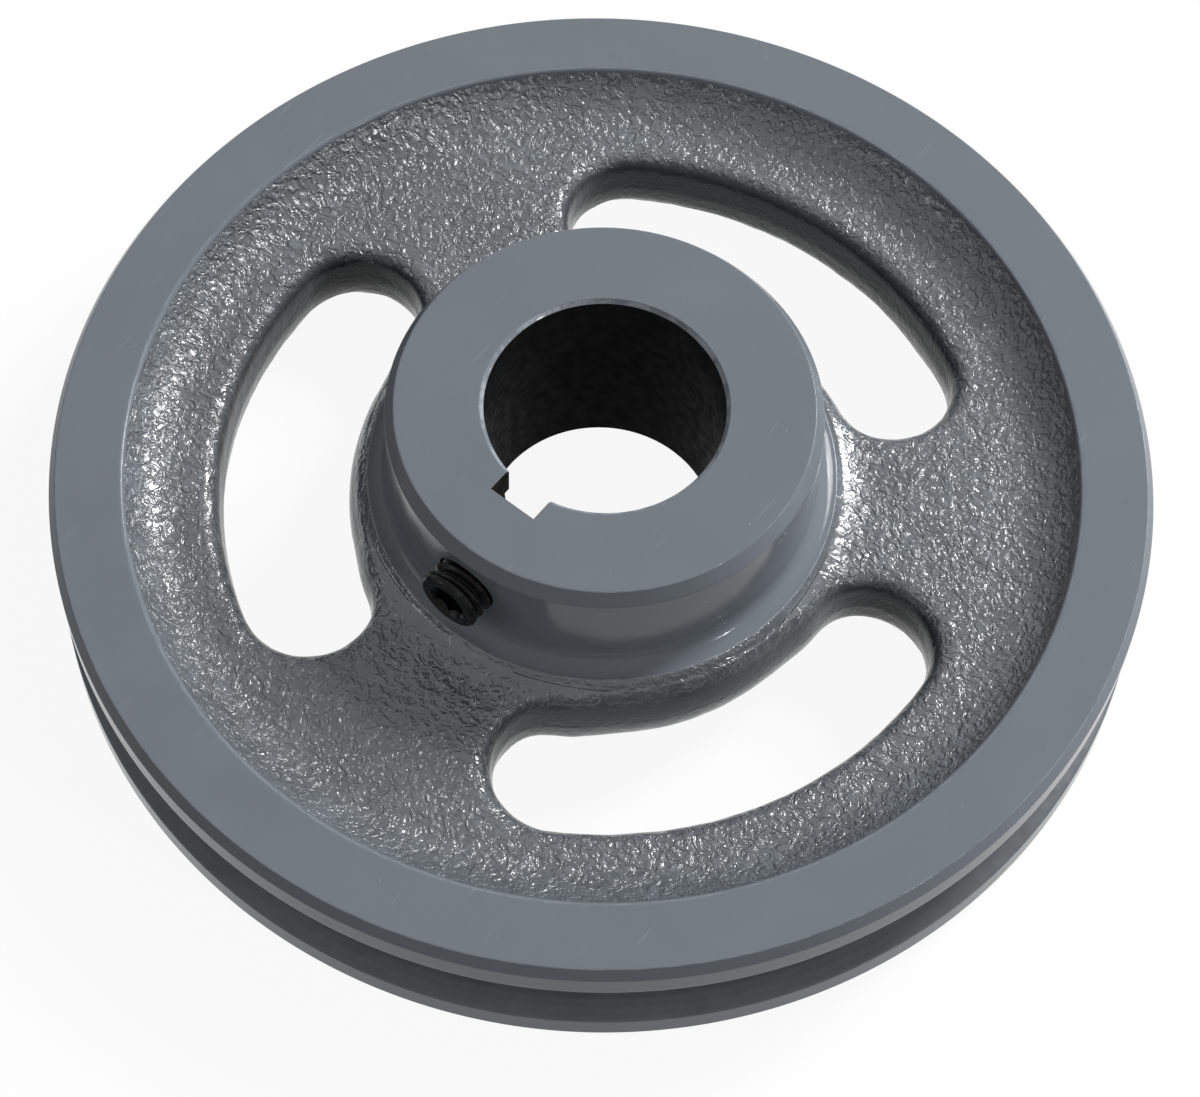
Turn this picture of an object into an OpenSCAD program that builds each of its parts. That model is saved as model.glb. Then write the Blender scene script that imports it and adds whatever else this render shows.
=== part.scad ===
// Single-groove V-belt pulley: a cast-iron casting with a hub to one side,
// a web pierced by kidney windows, a keyed bore and one socket set screw.
// The axis is Z, the rim's back face lies on Z = 0 and the keyway points to -Y.

/* [Rim] */
// Outside diameter over the flanges
outside_d = 133.35; // [125:0.05:180]
// Width of the rim between its two machined faces
rim_w = 19.05; // [17:0.05:24]
// Radial width of the flat ring on each face, chamfer included
rim_face_w = 8.6; // [8:0.1:10]
// Radial size of the chamfer at the outer edges
rim_chamfer_r = 0.85; // [0.4:0.05:1.2]
// Axial size of the chamfer at the outer edges
rim_chamfer_z = 1.5; // [0.6:0.05:2]
// Small round at the inner edge of each ring
rim_edge_round = 0.5; // [0.3:0.05:0.8]

/* [Belt groove] */
// Opening of the groove at the outside diameter
groove_w = 9.25; // [7:0.05:11]
// Depth of the groove below the outside diameter
groove_depth = 10.3; // [7:0.1:10.8]
// Angle between the two flanks, degrees
groove_angle = 38; // [32:1:38]

/* [Web] */
// Thickness of the web round the windows
web_t = 10; // [7:0.1:12]
// Radius of the dish that rises from the web to the rim
dish_r = 8; // [6:0.1:10]
// Fillet where the arms run into the hub
arm_fillet = 2.5; // [1:0.1:4]

/* [Windows] */
// Number of windows, evenly spaced
window_count = 3; // [2:1:3]
// Angle that one window spans at its narrowest section, degrees
window_span = 85; // [50:1:95]
// Radial width of a window at its narrowest section
window_w = 15.4; // [12:0.1:16]
// Step in radius from the sides of a window to its round ends
window_end_step = 0.03; // [0.01:0.01:0.1]
// Angle that the sides run past the middles of the round ends, degrees
window_end_lap = 0.7; // [0.5:0.1:1.5]
// Draft of the window walls to each side of the parting line, degrees
window_draft = 6; // [1:0.5:9]
// Round where the window walls meet the web
window_round = 2; // [1:0.1:3]
// Slope at which that round meets the web, degrees
window_round_end = 15; // [5:1:30]
// Turn of the cast arms from the keyway, degrees
arm_turn = 2; // [0:0.5:60]

/* [Hub] */
// Diameter of the turned part of the hub
hub_d = 52; // [48:0.1:53]
// Height of the hub above the rim face
hub_rise = 12.7; // [11:0.1:20]
// Step from the rim's back face to the hub's back face
hub_back_step = 1.59; // [0.5:0.01:3]
// Radial size of the chamfer at the hub's nose
hub_chamfer_r = 1.1; // [0.5:0.1:1.5]
// Axial size of the chamfer at the hub's nose
hub_chamfer_z = 1.8; // [0.5:0.1:2.5]
// Fillet between the turned hub and the cast boss
hub_fillet = 2.5; // [1:0.1:3]
// Drop from the rim face to the shoulder of the cast boss
shoulder_drop = 2.7; // [1:0.1:3.5]
// Growth in radius of the cast boss from its shoulder to its middle
boss_bulge = 2.4; // [1:0.1:3]

/* [Bore] */
// Finished bore diameter
bore_d = 28.575; // [20:0.005:30]
// Chamfer at both ends of the bore
bore_chamfer = 0.5; // [0.2:0.1:1]
// Width of the keyway
key_w = 6.35; // [4:0.05:8]
// Depth of the keyway's roof beyond the bore radius
key_depth = 2.95; // [1.5:0.05:3.5]

/* [Set screw] */
// Thread diameter of the set screw
screw_d = 7.938; // [6:0.001:8]
// Length of the set screw
screw_l = 9.525; // [8:0.005:9.6]
// How far the set screw stands out of the hub
screw_proud = 3.2; // [1:0.1:4]
// Height of the screw's axis above the rim face
screw_rise = 5.7; // [5.5:0.1:6]
// Radial clearance between the screw and its hole
screw_gap = 0.03; // [0.01:0.01:0.1]
// Hexagon socket, across flats
socket_af = 3.97; // [3:0.01:4.5]
// Depth of the hexagon socket
socket_depth = 4.5; // [2:0.1:5]
// Diameter of the countersink at the socket's mouth
socket_mouth_d = 5.1; // [4.6:0.1:5.6]
// Chamfer at the two ends of the screw
screw_chamfer = 0.6; // [0.3:0.1:1]
// Diameter of the cup at the screw's point
cup_d = 4; // [2:0.1:5]

/* [Hidden] */
$fn = 96;
cut = 1;

outside_r = outside_d / 2;
mid_z = rim_w / 2;
web_half = web_t / 2;
web_top_z = mid_z + web_half;
face_inner_r = outside_r - rim_face_w;
groove_bottom_w = groove_w - 2 * groove_depth * tan(groove_angle / 2);

// The dish is an arc tangent to the web; it ends below the face's edge round.
dish_top_z = rim_w - rim_edge_round;
dish_end_angle = acos((dish_r - (dish_top_z - web_top_z)) / dish_r);
dish_end_r = face_inner_r - rim_edge_round;
dish_start_r = dish_end_r - dish_r * sin(dish_end_angle);

hub_r = hub_d / 2;
hub_top_z = rim_w + hub_rise;
hub_back_z = hub_back_step;
shoulder_z = rim_w - shoulder_drop;
shoulder_r = hub_r + hub_fillet;

// The boss's side is one arc through its two shoulders, upright at mid-width.
shoulder_h = shoulder_z - mid_z;
boss_mid_r = shoulder_r + boss_bulge;
boss_arc_r = (shoulder_h * shoulder_h + boss_bulge * boss_bulge) / (2 * boss_bulge);
boss_arc_centre = boss_mid_r - boss_arc_r;
boss_web_r = boss_arc_centre + sqrt(boss_arc_r * boss_arc_r - web_half * web_half);

// The windows run from the boss outwards.
window_in_r = boss_mid_r;
slot_r = window_in_r + window_w / 2;
slot_end_angle = window_span / 2 - asin(window_w / 2 / slot_r);
// Centre of the round, measured from the window's narrowest point.
round_z = web_half - window_round * cos(window_round_end);
round_x = (window_round + round_z * sin(window_draft)) / cos(window_draft);
first_window_angle = -90 + arm_turn + 180 / window_count;

bore_r = bore_d / 2;
key_roof_r = bore_r + key_depth;
screw_r = screw_d / 2;
screw_z = rim_w + screw_rise;
screw_out_r = hub_r + screw_proud;
screw_in_r = screw_out_r - screw_l;
socket_mouth_z = (socket_mouth_d - socket_af) / 2;
cup_depth = cup_d / 4;

// Half section of the rim and web, seen to the right of the axis.
module rim_and_web_2d() {
    difference() {
        translate([boss_arc_centre, 0]) square([outside_r - boss_arc_centre, rim_w]);
        dish_2d();
        translate([0, rim_w]) mirror([0, 1]) dish_2d();
        groove_2d();
        rim_chamfer_2d();
        translate([0, rim_w]) mirror([0, 1]) rim_chamfer_2d();
    }
}

// The hollow in front of the web: flat floor, dish up to the rim, fillet at the hub.
module dish_2d() {
    fillet_r = boss_web_r + arm_fillet;
    translate([fillet_r, web_top_z])
        square([dish_start_r - fillet_r, rim_w - web_top_z + cut]);
    intersection() {
        translate([dish_start_r, web_top_z + dish_r]) circle(dish_r);
        translate([dish_start_r, web_top_z])
            square([dish_end_r - dish_start_r, dish_top_z - web_top_z]);
    }
    translate([boss_arc_centre - cut, web_top_z + arm_fillet])
        square([fillet_r - boss_arc_centre + 2 * cut, rim_w - web_top_z]);
    intersection() {
        translate([fillet_r, web_top_z + arm_fillet]) circle(arm_fillet);
        translate([fillet_r - arm_fillet, web_top_z]) square(arm_fillet);
    }
    translate([dish_start_r - cut, dish_top_z])
        square([dish_end_r - dish_start_r + cut, rim_edge_round + cut]);
    difference() {
        translate([dish_end_r - cut, dish_top_z])
            square([rim_edge_round + cut, rim_edge_round + cut]);
        translate([face_inner_r, dish_top_z]) circle(rim_edge_round);
    }
}

module groove_2d() {
    polygon([
        [outside_r + cut, mid_z + groove_w / 2 + cut * tan(groove_angle / 2)],
        [outside_r - groove_depth, mid_z + groove_bottom_w / 2],
        [outside_r - groove_depth, mid_z - groove_bottom_w / 2],
        [outside_r + cut, mid_z - groove_w / 2 - cut * tan(groove_angle / 2)]
    ]);
}

module rim_chamfer_2d() {
    slope = rim_chamfer_z / rim_chamfer_r;
    polygon([
        [outside_r - rim_chamfer_r - cut, rim_w + cut * slope],
        [outside_r + cut, rim_w + cut * slope],
        [outside_r + cut, rim_w - rim_chamfer_z - cut * slope]
    ]);
}

// Half section of the hub: cast boss below, turned nose above.
module hub_2d() {
    intersection() {
        translate([boss_arc_centre, mid_z]) circle(boss_arc_r, $fn = 192);
        translate([0, hub_back_z]) square([boss_mid_r + cut, shoulder_z - hub_back_z]);
    }
    difference() {
        translate([0, shoulder_z]) square([shoulder_r, hub_fillet]);
        translate([shoulder_r, shoulder_z + hub_fillet]) circle(hub_fillet);
    }
    translate([0, hub_back_z]) square([boss_arc_centre + cut, shoulder_z - hub_back_z]);
    polygon([
        [0, shoulder_z],
        [hub_r, shoulder_z],
        [hub_r, hub_top_z - hub_chamfer_z],
        [hub_r - hub_chamfer_r, hub_top_z],
        [0, hub_top_z]
    ]);
}

// Half of a window's cross-section, from its centre line at x = 0 to its wall,
// whose narrowest point lies at x = half_w on the web's middle plane.
module window_wall_2d(half_w) {
    arc_x = half_w + round_x;
    tangent_x = arc_x - window_round * cos(window_draft);
    tangent_z = round_z + window_round * sin(window_draft);
    difference() {
        translate([0, -mid_z]) square([arc_x, rim_w]);
        polygon([
            [half_w, 0],
            [tangent_x, tangent_z],
            [arc_x, round_z],
            [arc_x + cut, round_z],
            [arc_x + cut, -round_z],
            [arc_x, -round_z],
            [tangent_x, -tangent_z]
        ]);
        for (side = [-1, 1]) translate([arc_x, side * round_z]) circle(window_round);
    }
}

// One window, centred on +X at the height of the web's middle plane: a curved
// slot with round ends. The slot runs past the middles of its ends, which are a
// hair narrower, so that their walls cross its end planes and nowhere touch its walls.
module window_cutter() {
    lap_angle = slot_end_angle + window_end_lap;
    rotate([0, 0, -lap_angle])
        rotate_extrude(angle = 2 * lap_angle, $fn = 192)
        translate([slot_r, 0]) {
            window_wall_2d(window_w / 2);
            mirror([1, 0]) window_wall_2d(window_w / 2);
        }
    for (side = [-1, 1])
        rotate([0, 0, side * slot_end_angle])
            translate([slot_r, 0, 0])
            rotate_extrude() window_wall_2d(window_w / 2 - window_end_step);
}

module bore_and_keyway() {
    translate([0, 0, hub_back_z - cut]) cylinder(h = hub_top_z - hub_back_z + 2 * cut, r = bore_r);
    translate([0, 0, hub_back_z - cut])
        cylinder(h = bore_chamfer + cut, r1 = bore_r + bore_chamfer + cut, r2 = bore_r);
    translate([0, 0, hub_top_z - bore_chamfer])
        cylinder(h = bore_chamfer + cut, r1 = bore_r, r2 = bore_r + bore_chamfer + cut);
    translate([-key_w / 2, -key_roof_r, hub_back_z - cut])
        cube([key_w, key_roof_r, hub_top_z - hub_back_z + 2 * cut]);
}

// Turns a shape drawn along +Z so that it points out of the hub along -Y.
module at_screw_axis() {
    translate([0, 0, screw_z]) rotate([90, 0, 0]) children();
}

module pulley() {
    color([0.45, 0.48, 0.51])
    difference() {
        union() {
            difference() {
                rotate_extrude($fn = 192) rim_and_web_2d();
                for (i = [0 : window_count - 1])
                    rotate([0, 0, first_window_angle + i * 360 / window_count])
                        translate([0, 0, mid_z]) window_cutter();
            }
            rotate_extrude($fn = 192) hub_2d();
        }
        bore_and_keyway();
        at_screw_axis() cylinder(h = hub_r + cut, r = screw_r + screw_gap);
    }
}

module set_screw() {
    color([0.06, 0.06, 0.07])
    at_screw_axis() translate([0, 0, screw_in_r])
    difference() {
        rotate_extrude() polygon([
            [0, 0],
            [screw_r - screw_chamfer, 0],
            [screw_r, screw_chamfer],
            [screw_r, screw_l - screw_chamfer],
            [screw_r - screw_chamfer, screw_l],
            [0, screw_l]
        ]);
        translate([0, 0, screw_l - socket_depth])
            cylinder(h = socket_depth + cut, d = socket_af / cos(30), $fn = 6);
        translate([0, 0, screw_l - socket_mouth_z])
            cylinder(h = socket_mouth_z + cut, d1 = socket_af, d2 = socket_mouth_d + 2 * cut);
        translate([0, 0, -cut])
            cylinder(h = cup_depth + cut, r1 = (cup_depth + cut) * 2, r2 = 0);
    }
}

pulley();
set_screw();
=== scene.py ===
"""Looks of a single-groove V-belt pulley: a grey painted casting with three
windows in its web, turned rim and hub, a keyed bore and a black set screw."""

import logging
import math
from dataclasses import dataclass, field
from enum import Enum
from typing import Callable, Iterable, Optional, Sequence, Union

import bmesh
import bpy
import numpy as np
from bmesh.types import BMEdge, BMesh, BMFace, BMVert
from bpy.types import ID, Material, Node, NodeSocket, Object
from mathutils import Matrix, Vector, noise


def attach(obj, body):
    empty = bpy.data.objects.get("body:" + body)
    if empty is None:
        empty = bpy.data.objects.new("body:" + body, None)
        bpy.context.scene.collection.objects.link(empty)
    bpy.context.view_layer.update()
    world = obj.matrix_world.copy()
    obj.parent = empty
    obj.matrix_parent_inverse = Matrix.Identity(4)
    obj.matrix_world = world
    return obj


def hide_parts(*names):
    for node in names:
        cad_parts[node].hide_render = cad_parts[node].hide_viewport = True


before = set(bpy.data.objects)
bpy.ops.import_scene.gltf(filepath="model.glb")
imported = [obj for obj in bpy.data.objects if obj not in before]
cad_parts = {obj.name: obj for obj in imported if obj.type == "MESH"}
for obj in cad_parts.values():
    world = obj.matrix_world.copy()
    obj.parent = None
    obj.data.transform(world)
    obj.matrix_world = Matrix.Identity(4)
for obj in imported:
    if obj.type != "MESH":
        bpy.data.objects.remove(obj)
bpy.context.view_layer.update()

MM = 0.001
WHITE = (1.0, 1.0, 1.0)
LOG = logging.getLogger("pulley")

Point2 = tuple[float, float]
Point3 = tuple[float, float, float]
Colour = Point3
# The two limits of a value, then what it gives at the first and at the second.
Ramp = tuple[float, float, float, float]
Feed = Union[float, Colour, NodeSocket]


class Region(Enum):
    """Which finish a face of the casting takes, by its material index."""

    CAST = 0
    TURNED = 1
    GROOVE = 2
    BORE = 3
    LIP = 4
    WALL = 5


# A ring of a half section: its radius and height, and the region that leads to it.
Ring = tuple[float, float, Region]


class NodeSheet:
    """The node tree of a material or world, with short calls to add and join nodes."""

    def __init__(self, owner: ID, output: str = "ShaderNodeOutputMaterial") -> None:
        """Start an empty tree.

        Args:
            owner: The new material or world that the tree belongs to.
            output: Type name of its output node.
        """
        owner.use_nodes = True
        self.owner = owner
        self.tree = owner.node_tree
        self.tree.nodes.clear()
        self.out = self.add(output)

    @classmethod
    def material(cls, name: str) -> "NodeSheet":
        """Start the sheet of a new material with this name."""
        return cls(bpy.data.materials.new(name))

    def add(self, kind: str, inputs: Optional[dict[str, Feed]] = None, **settings: object) -> Node:
        """Add one node.

        Args:
            kind: The node's type name.
            inputs: What its inputs take, by their names.
            **settings: Attributes of the node to set.

        Returns:
            The new node.
        """
        node = self.tree.nodes.new(kind)
        for key, value in settings.items():
            setattr(node, key, value)
        for name, value in (inputs or {}).items():
            self.feed(value, node.inputs[name])
        return node

    def feed(self, value: Feed, socket: NodeSocket) -> None:
        """Give an input a number, a vector, a colour without its alpha, or another node's output."""
        if isinstance(value, tuple):
            socket.default_value = (*value, 1.0) if socket.type == "RGBA" else value
        elif isinstance(value, (int, float)):
            socket.default_value = value
        else:
            self.tree.links.new(value, socket)

    def close(self, shader: Node) -> ID:
        """Join the last shader to the output and return the material or world."""
        self.feed(shader.outputs[0], self.out.inputs["Surface"])
        return self.owner

    def coords(self) -> NodeSocket:
        """Return the object's own coordinates, in metres."""
        return self.add("ShaderNodeTexCoord").outputs["Object"]

    def height(self, at: NodeSocket) -> NodeSocket:
        """Return the height over the pulley's lower rim face."""
        return self.add("ShaderNodeSeparateXYZ", {"Vector": at}).outputs["Z"]

    def radius(self, at: NodeSocket) -> NodeSocket:
        """Return the distance from the pulley's axis."""
        flat = self.add("ShaderNodeVectorMath", {"Vector": at}, operation="MULTIPLY")
        self.feed((1.0, 1.0, 0.0), flat.inputs[1])
        size = self.add("ShaderNodeVectorMath", {"Vector": flat.outputs[0]}, operation="LENGTH")
        return size.outputs["Value"]

    def noise(self, at: NodeSocket, scale: float, detail: float = 2.0, rough: float = 0.5,
              distortion: float = 0.0) -> NodeSocket:
        """Add a noise pattern, its scale in cells per metre, and return its factor."""
        return self.add("ShaderNodeTexNoise", {
            "Vector": at, "Scale": scale, "Detail": detail, "Roughness": rough, "Distortion": distortion,
        }).outputs["Fac"]

    def uneven(self, at: NodeSocket, scale: float, least: float, most: float) -> NodeSocket:
        """Return a value that wanders smoothly between two limits."""
        return self.ramp(self.noise(at, scale), 0.3, 0.7, least, most)

    def patchy(self, at: NodeSocket, scale: float, colour: Colour, share: float) -> NodeSocket:
        """Return a colour with broad patches in which only a share of it is left."""
        patches = self.ramp(self.noise(at, scale, 3.0, 0.6), 0.3, 0.7)
        return self.blend(patches, tuple(share * c for c in colour), colour)

    def cells(self, at: NodeSocket, scale: float, feature: str = "F1") -> NodeSocket:
        """Add a Voronoi pattern and return its distance."""
        node = self.add("ShaderNodeTexVoronoi", {"Vector": at, "Scale": scale}, feature=feature)
        return node.outputs["Distance"]

    def rings(self, at: NodeSocket, scale: float, distortion: float) -> NodeSocket:
        """Add the fine rings that a turning tool leaves, one over the other in height."""
        return self.add("ShaderNodeTexWave", {"Vector": at, "Scale": scale, "Distortion": distortion},
                        wave_type="BANDS", bands_direction="Z").outputs["Fac"]

    def ramp(self, value: Feed, low: float, high: float, at_low: float = 0.0,
             at_high: float = 1.0) -> NodeSocket:
        """Map a value smoothly: at_low up to the limit low, at_high from the limit high on."""
        return self.add("ShaderNodeMapRange", {
            "Value": value, "From Min": low, "From Max": high, "To Min": at_low, "To Max": at_high,
        }, interpolation_type="SMOOTHSTEP").outputs["Result"]

    def math(self, operation: str, first: Feed, second: Feed = 0.0) -> NodeSocket:
        """Join two sockets or numbers by one operation and return the result."""
        node = self.add("ShaderNodeMath", operation=operation)
        self.feed(first, node.inputs[0])
        self.feed(second, node.inputs[1])
        return node.outputs[0]

    def times(self, first: Feed, second: Feed) -> NodeSocket:
        """Multiply two sockets or numbers."""
        return self.math("MULTIPLY", first, second)

    def away(self, value: Feed, middle: float) -> NodeSocket:
        """Return how far a value is from a middle one, on either side."""
        return self.math("ABSOLUTE", self.math("SUBTRACT", value, middle))

    def blend(self, factor: Feed, first: Feed, second: Feed) -> NodeSocket:
        """Mix two colours, the first at factor 0 and the second at factor 1."""
        node = self.add("ShaderNodeMix", {"Factor": factor}, data_type="RGBA")
        colour_a, colour_b, colour_out = 6, 7, 2
        self.feed(first, node.inputs[colour_a])
        self.feed(second, node.inputs[colour_b])
        return node.outputs[colour_out]

    def mix(self, factor: Feed, first: Node, second: Node) -> Node:
        """Mix two shaders, the first at factor 0 and the second at factor 1."""
        node = self.add("ShaderNodeMixShader", {"Fac": factor})
        self.feed(first.outputs[0], node.inputs[1])
        self.feed(second.outputs[0], node.inputs[2])
        return node

    def bump(self, height: Feed, distance: float, strength: float = 1.0,
             under: Optional[NodeSocket] = None) -> NodeSocket:
        """Turn a height into a normal; a height of 1 means the distance, and under is a coarser bump."""
        node = self.add("ShaderNodeBump", {"Height": height, "Distance": distance, "Strength": strength})
        if under is not None:
            self.feed(under, node.inputs["Normal"])
        return node.outputs["Normal"]

    def surface(self, colour: Feed, rough: Feed, normal: Feed, specular: float = 0.5) -> Material:
        """Close the sheet with one Principled shader; its specular level is the same all over."""
        return self.close(self.add("ShaderNodeBsdfPrincipled", {
            "Base Color": colour, "Roughness": rough, "Normal": normal, "Specular IOR Level": specular}))


@dataclass(frozen=True)
class CastPaint:
    """Grey paint over a rough as-cast skin, glossy on its small wrinkles, with painted shade darkening its
    small hollows and the window walls, and light specks that are partly painted glints.
    """

    colour: Colour = (0.128, 0.144, 0.158)
    dark: Colour = (0.108, 0.120, 0.132)
    # Painted shade: the low parts of the wrinkles are darkened towards this grey.
    painted_hollow_shade: Colour = (0.066, 0.073, 0.080)
    # Light specks: partly paint rubbed thin, partly painted glints on the wrinkles.
    speck_and_glint: Colour = (0.40, 0.43, 0.46)
    # Painted shade: the window walls are darkened towards this near-black grey, in place of the shade inside
    # the windows.
    wall: Colour = (0.030, 0.032, 0.034)
    parting: Colour = (0.008, 0.009, 0.010)
    parting_z: float = 9.525 * MM
    parting_line: Ramp = (0.15 * MM, 0.36 * MM, 1.0, 0.0)
    rough_from_line: Ramp = (3.9 * MM, 5.0 * MM, 0.16, 1.0)
    rough_from_boss: Ramp = (29.3 * MM, 31.8 * MM, 0.22, 1.0)
    # Where painted shade darkens the window walls, and how much less of it falls near the boss.
    shade_from_line: Ramp = (3.4 * MM, 5.0 * MM, 0.85, 0.0)
    shade_from_boss: Ramp = (31.5 * MM, 35.0 * MM, 0.45, 1.0)
    roughness: Point2 = (0.12, 0.22)
    patch_scale: float = 170.0
    wrinkle_scale: float = 820.0
    wrinkle_height: float = 0.16 * MM
    pit_scale: float = 880.0
    speck_scale: float = 700.0
    fine_scale: float = 3000.0
    fine_height: float = 0.03 * MM

    def calm(self, sheet: NodeSheet, at: NodeSocket) -> tuple[NodeSocket, ...]:
        """Say where the skin is smoother: on the hub's boss and on the window walls.

        Returns:
            A factor that is 1 on rough skin, the distance from the parting line, and how strongly painted
            shade darkens the window walls.
        """
        off, radius = sheet.away(sheet.height(at), self.parting_z), sheet.radius(at)
        rough = sheet.times(sheet.ramp(off, *self.rough_from_line), sheet.ramp(radius, *self.rough_from_boss))
        shade = sheet.times(sheet.ramp(off, *self.shade_from_line), sheet.ramp(radius, *self.shade_from_boss))
        return rough, off, shade

    def make(self, name: str, gloss: float) -> Material:
        """Make the paint for the web, for the windows' lips or for their walls.

        Args:
            name: The material's name.
            gloss: Specular level, lower on the windows' lips and walls so that they reflect less of the white
                surroundings and look darker, as painted shade.

        Returns:
            The material.
        """
        sheet = NodeSheet.material(name)
        at = sheet.coords()
        rough_skin, off, shade = self.calm(sheet, at)
        patches = sheet.ramp(sheet.noise(at, self.patch_scale, 3.0, 0.6), 0.35, 0.68)
        wrinkle = sheet.noise(at, self.wrinkle_scale, 2.0, 0.5, 1.2)
        pits = sheet.ramp(sheet.cells(at, self.pit_scale, "SMOOTH_F1"), 0.05, 0.7)
        fine = sheet.noise(at, self.fine_scale)
        # Low parts of the wrinkles, where painted shade goes.
        painted_dip_shade = sheet.ramp(wrinkle, 0.34, 0.48, 0.45, 0.0)
        specks = sheet.ramp(sheet.cells(at, self.speck_scale), 0.10, 0.17, 0.55, 0.0)
        broken = sheet.ramp(sheet.noise(at, 330.0, 1.0), 0.40, 0.50, 0.35, 1.0)
        colour = sheet.blend(patches, self.dark, self.colour)
        # Painted shade in the low parts of the wrinkles.
        colour = sheet.blend(sheet.times(painted_dip_shade, rough_skin), colour, self.painted_hollow_shade)
        # Light specks, partly painted glints.
        colour = sheet.blend(sheet.times(specks, rough_skin), colour, self.speck_and_glint)
        # Painted shade on the window walls.
        colour = sheet.blend(shade, colour, self.wall)
        colour = sheet.blend(sheet.times(sheet.ramp(off, *self.parting_line), broken), colour, self.parting)
        rough = sheet.uneven(at, 1500.0, *self.roughness)
        height = sheet.math("ADD", sheet.ramp(wrinkle, 0.36, 0.64), sheet.times(pits, 0.5))
        coarse = sheet.bump(sheet.times(height, rough_skin), self.wrinkle_height)
        return sheet.surface(colour, rough, sheet.bump(fine, self.fine_height, 0.5, coarse), gloss)


@dataclass(frozen=True)
class TurnedPaint:
    """The same grey paint over turned faces: smooth, with a few specks and faint scratches.

    Each edge line has its radius, its half width in millimetres and how much of it is lightened; the lines
    are partly paint rubbed thin and partly painted highlights on the turned edges.
    """

    colour: Colour = (0.159, 0.180, 0.200)
    # Light grey for specks and scratches, also used for the painted highlight lines on the turned edges.
    worn_and_highlight: Colour = (0.34, 0.37, 0.40)
    dirt: Colour = (0.07, 0.08, 0.09)
    edges: tuple[Point3, ...] = (
        (14.52, 0.30, 0.75), (24.9, 0.07, 0.35), (28.43, 0.09, 0.55), (58.0, 0.10, 0.30), (65.83, 0.07, 0.35))
    scratch_turn: float = 0.7
    scratch_squeeze: float = 0.05
    roughness: Point2 = (0.12, 0.16)
    skin_height: float = 0.02 * MM
    gloss: float = 0.12

    def wear_and_edge_highlights(self, sheet: NodeSheet, at: NodeSocket, colour: Feed) -> Feed:
        """Lighten a colour in broken lines along the turned edges: partly the lighter ground through paint
        rubbed thin, partly painted highlights.
        """
        radius = sheet.radius(at)
        broken = sheet.ramp(sheet.noise(at, 420.0, 3.0, 0.7), 0.42, 0.58, 0.15, 1.0)
        for edge, half, share in self.edges:
            band = sheet.ramp(sheet.away(radius, edge * MM), 0.4 * half * MM, half * MM, share, 0.0)
            colour = sheet.blend(sheet.times(band, broken), colour, self.worn_and_highlight)
        return colour

    def scratches(self, sheet: NodeSheet, at: NodeSocket) -> NodeSocket:
        """Return a factor that shows faint scratches, all in one direction."""
        lines = sheet.add("ShaderNodeMapping", {
            "Vector": at,
            "Rotation": (0.0, 0.0, self.scratch_turn),
            "Scale": (1.0, self.scratch_squeeze, 1.0),
        })
        return sheet.ramp(sheet.noise(lines.outputs[0], 2300.0, 1.0), 0.72, 0.78, 0.0, 0.16)

    def make(self) -> Material:
        """Return the material."""
        sheet = NodeSheet.material("turned_paint")
        at = sheet.coords()
        specks = sheet.ramp(sheet.cells(at, 520.0), 0.04, 0.075, 0.45, 0.0)
        rare = sheet.ramp(sheet.noise(at, 260.0, 1.0), 0.58, 0.63)
        dots = sheet.ramp(sheet.cells(at, 390.0), 0.04, 0.08, 0.5, 0.0)
        seldom = sheet.ramp(sheet.noise(at, 190.0, 1.0), 0.33, 0.38, 1.0, 0.0)
        colour = sheet.patchy(at, 90.0, self.colour, 0.96)
        colour = sheet.blend(sheet.times(specks, rare), colour, self.worn_and_highlight)
        colour = sheet.blend(sheet.times(dots, seldom), colour, self.dirt)
        colour = sheet.blend(self.scratches(sheet, at), colour, self.worn_and_highlight)
        # Broken light lines on the turned edges, partly painted highlights.
        colour = self.wear_and_edge_highlights(sheet, at, colour)
        rough = sheet.uneven(at, 400.0, *self.roughness)
        skin = sheet.bump(sheet.noise(at, 1100.0), self.skin_height, 0.5)
        return sheet.surface(colour, rough, skin, self.gloss)


@dataclass(frozen=True)
class GroovePaint:
    """The grey paint in the belt groove, made darker than on the turned faces as painted shade, with the fine
    rings of the turning tool.
    """

    # Darker than the turned paint: painted shade in the groove.
    colour: Colour = (0.086, 0.099, 0.110)
    roughness: Point2 = (0.30, 0.44)
    ring_scale: float = 900.0
    ring_height: float = 0.012 * MM

    def make(self) -> Material:
        """Return the material."""
        sheet = NodeSheet.material("groove_paint")
        at = sheet.coords()
        rings = sheet.bump(sheet.rings(at, self.ring_scale, 0.6), self.ring_height, 0.5)
        rough = sheet.uneven(at, 600.0, *self.roughness)
        return sheet.surface(sheet.patchy(at, 140.0, self.colour, 0.8), rough, rings)


@dataclass(frozen=True)
class BoreIron:
    """Bored iron, coloured near black."""

    # Near black all over, also on the keyway's and the screw hole's walls.
    colour: Colour = (0.0040, 0.0043, 0.0048)
    roughness: Point2 = (0.42, 0.58)
    ring_scale: float = 1500.0
    ring_height: float = 0.010 * MM
    gloss: float = 0.012

    def make(self) -> Material:
        """Return the material."""
        sheet = NodeSheet.material("bore_iron")
        at = sheet.coords()
        rings = sheet.bump(sheet.rings(at, self.ring_scale, 1.2), self.ring_height, 0.6)
        rough = sheet.uneven(at, 700.0, *self.roughness)
        return sheet.surface(sheet.patchy(at, 240.0, self.colour, 0.6), rough, rings, self.gloss)


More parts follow.
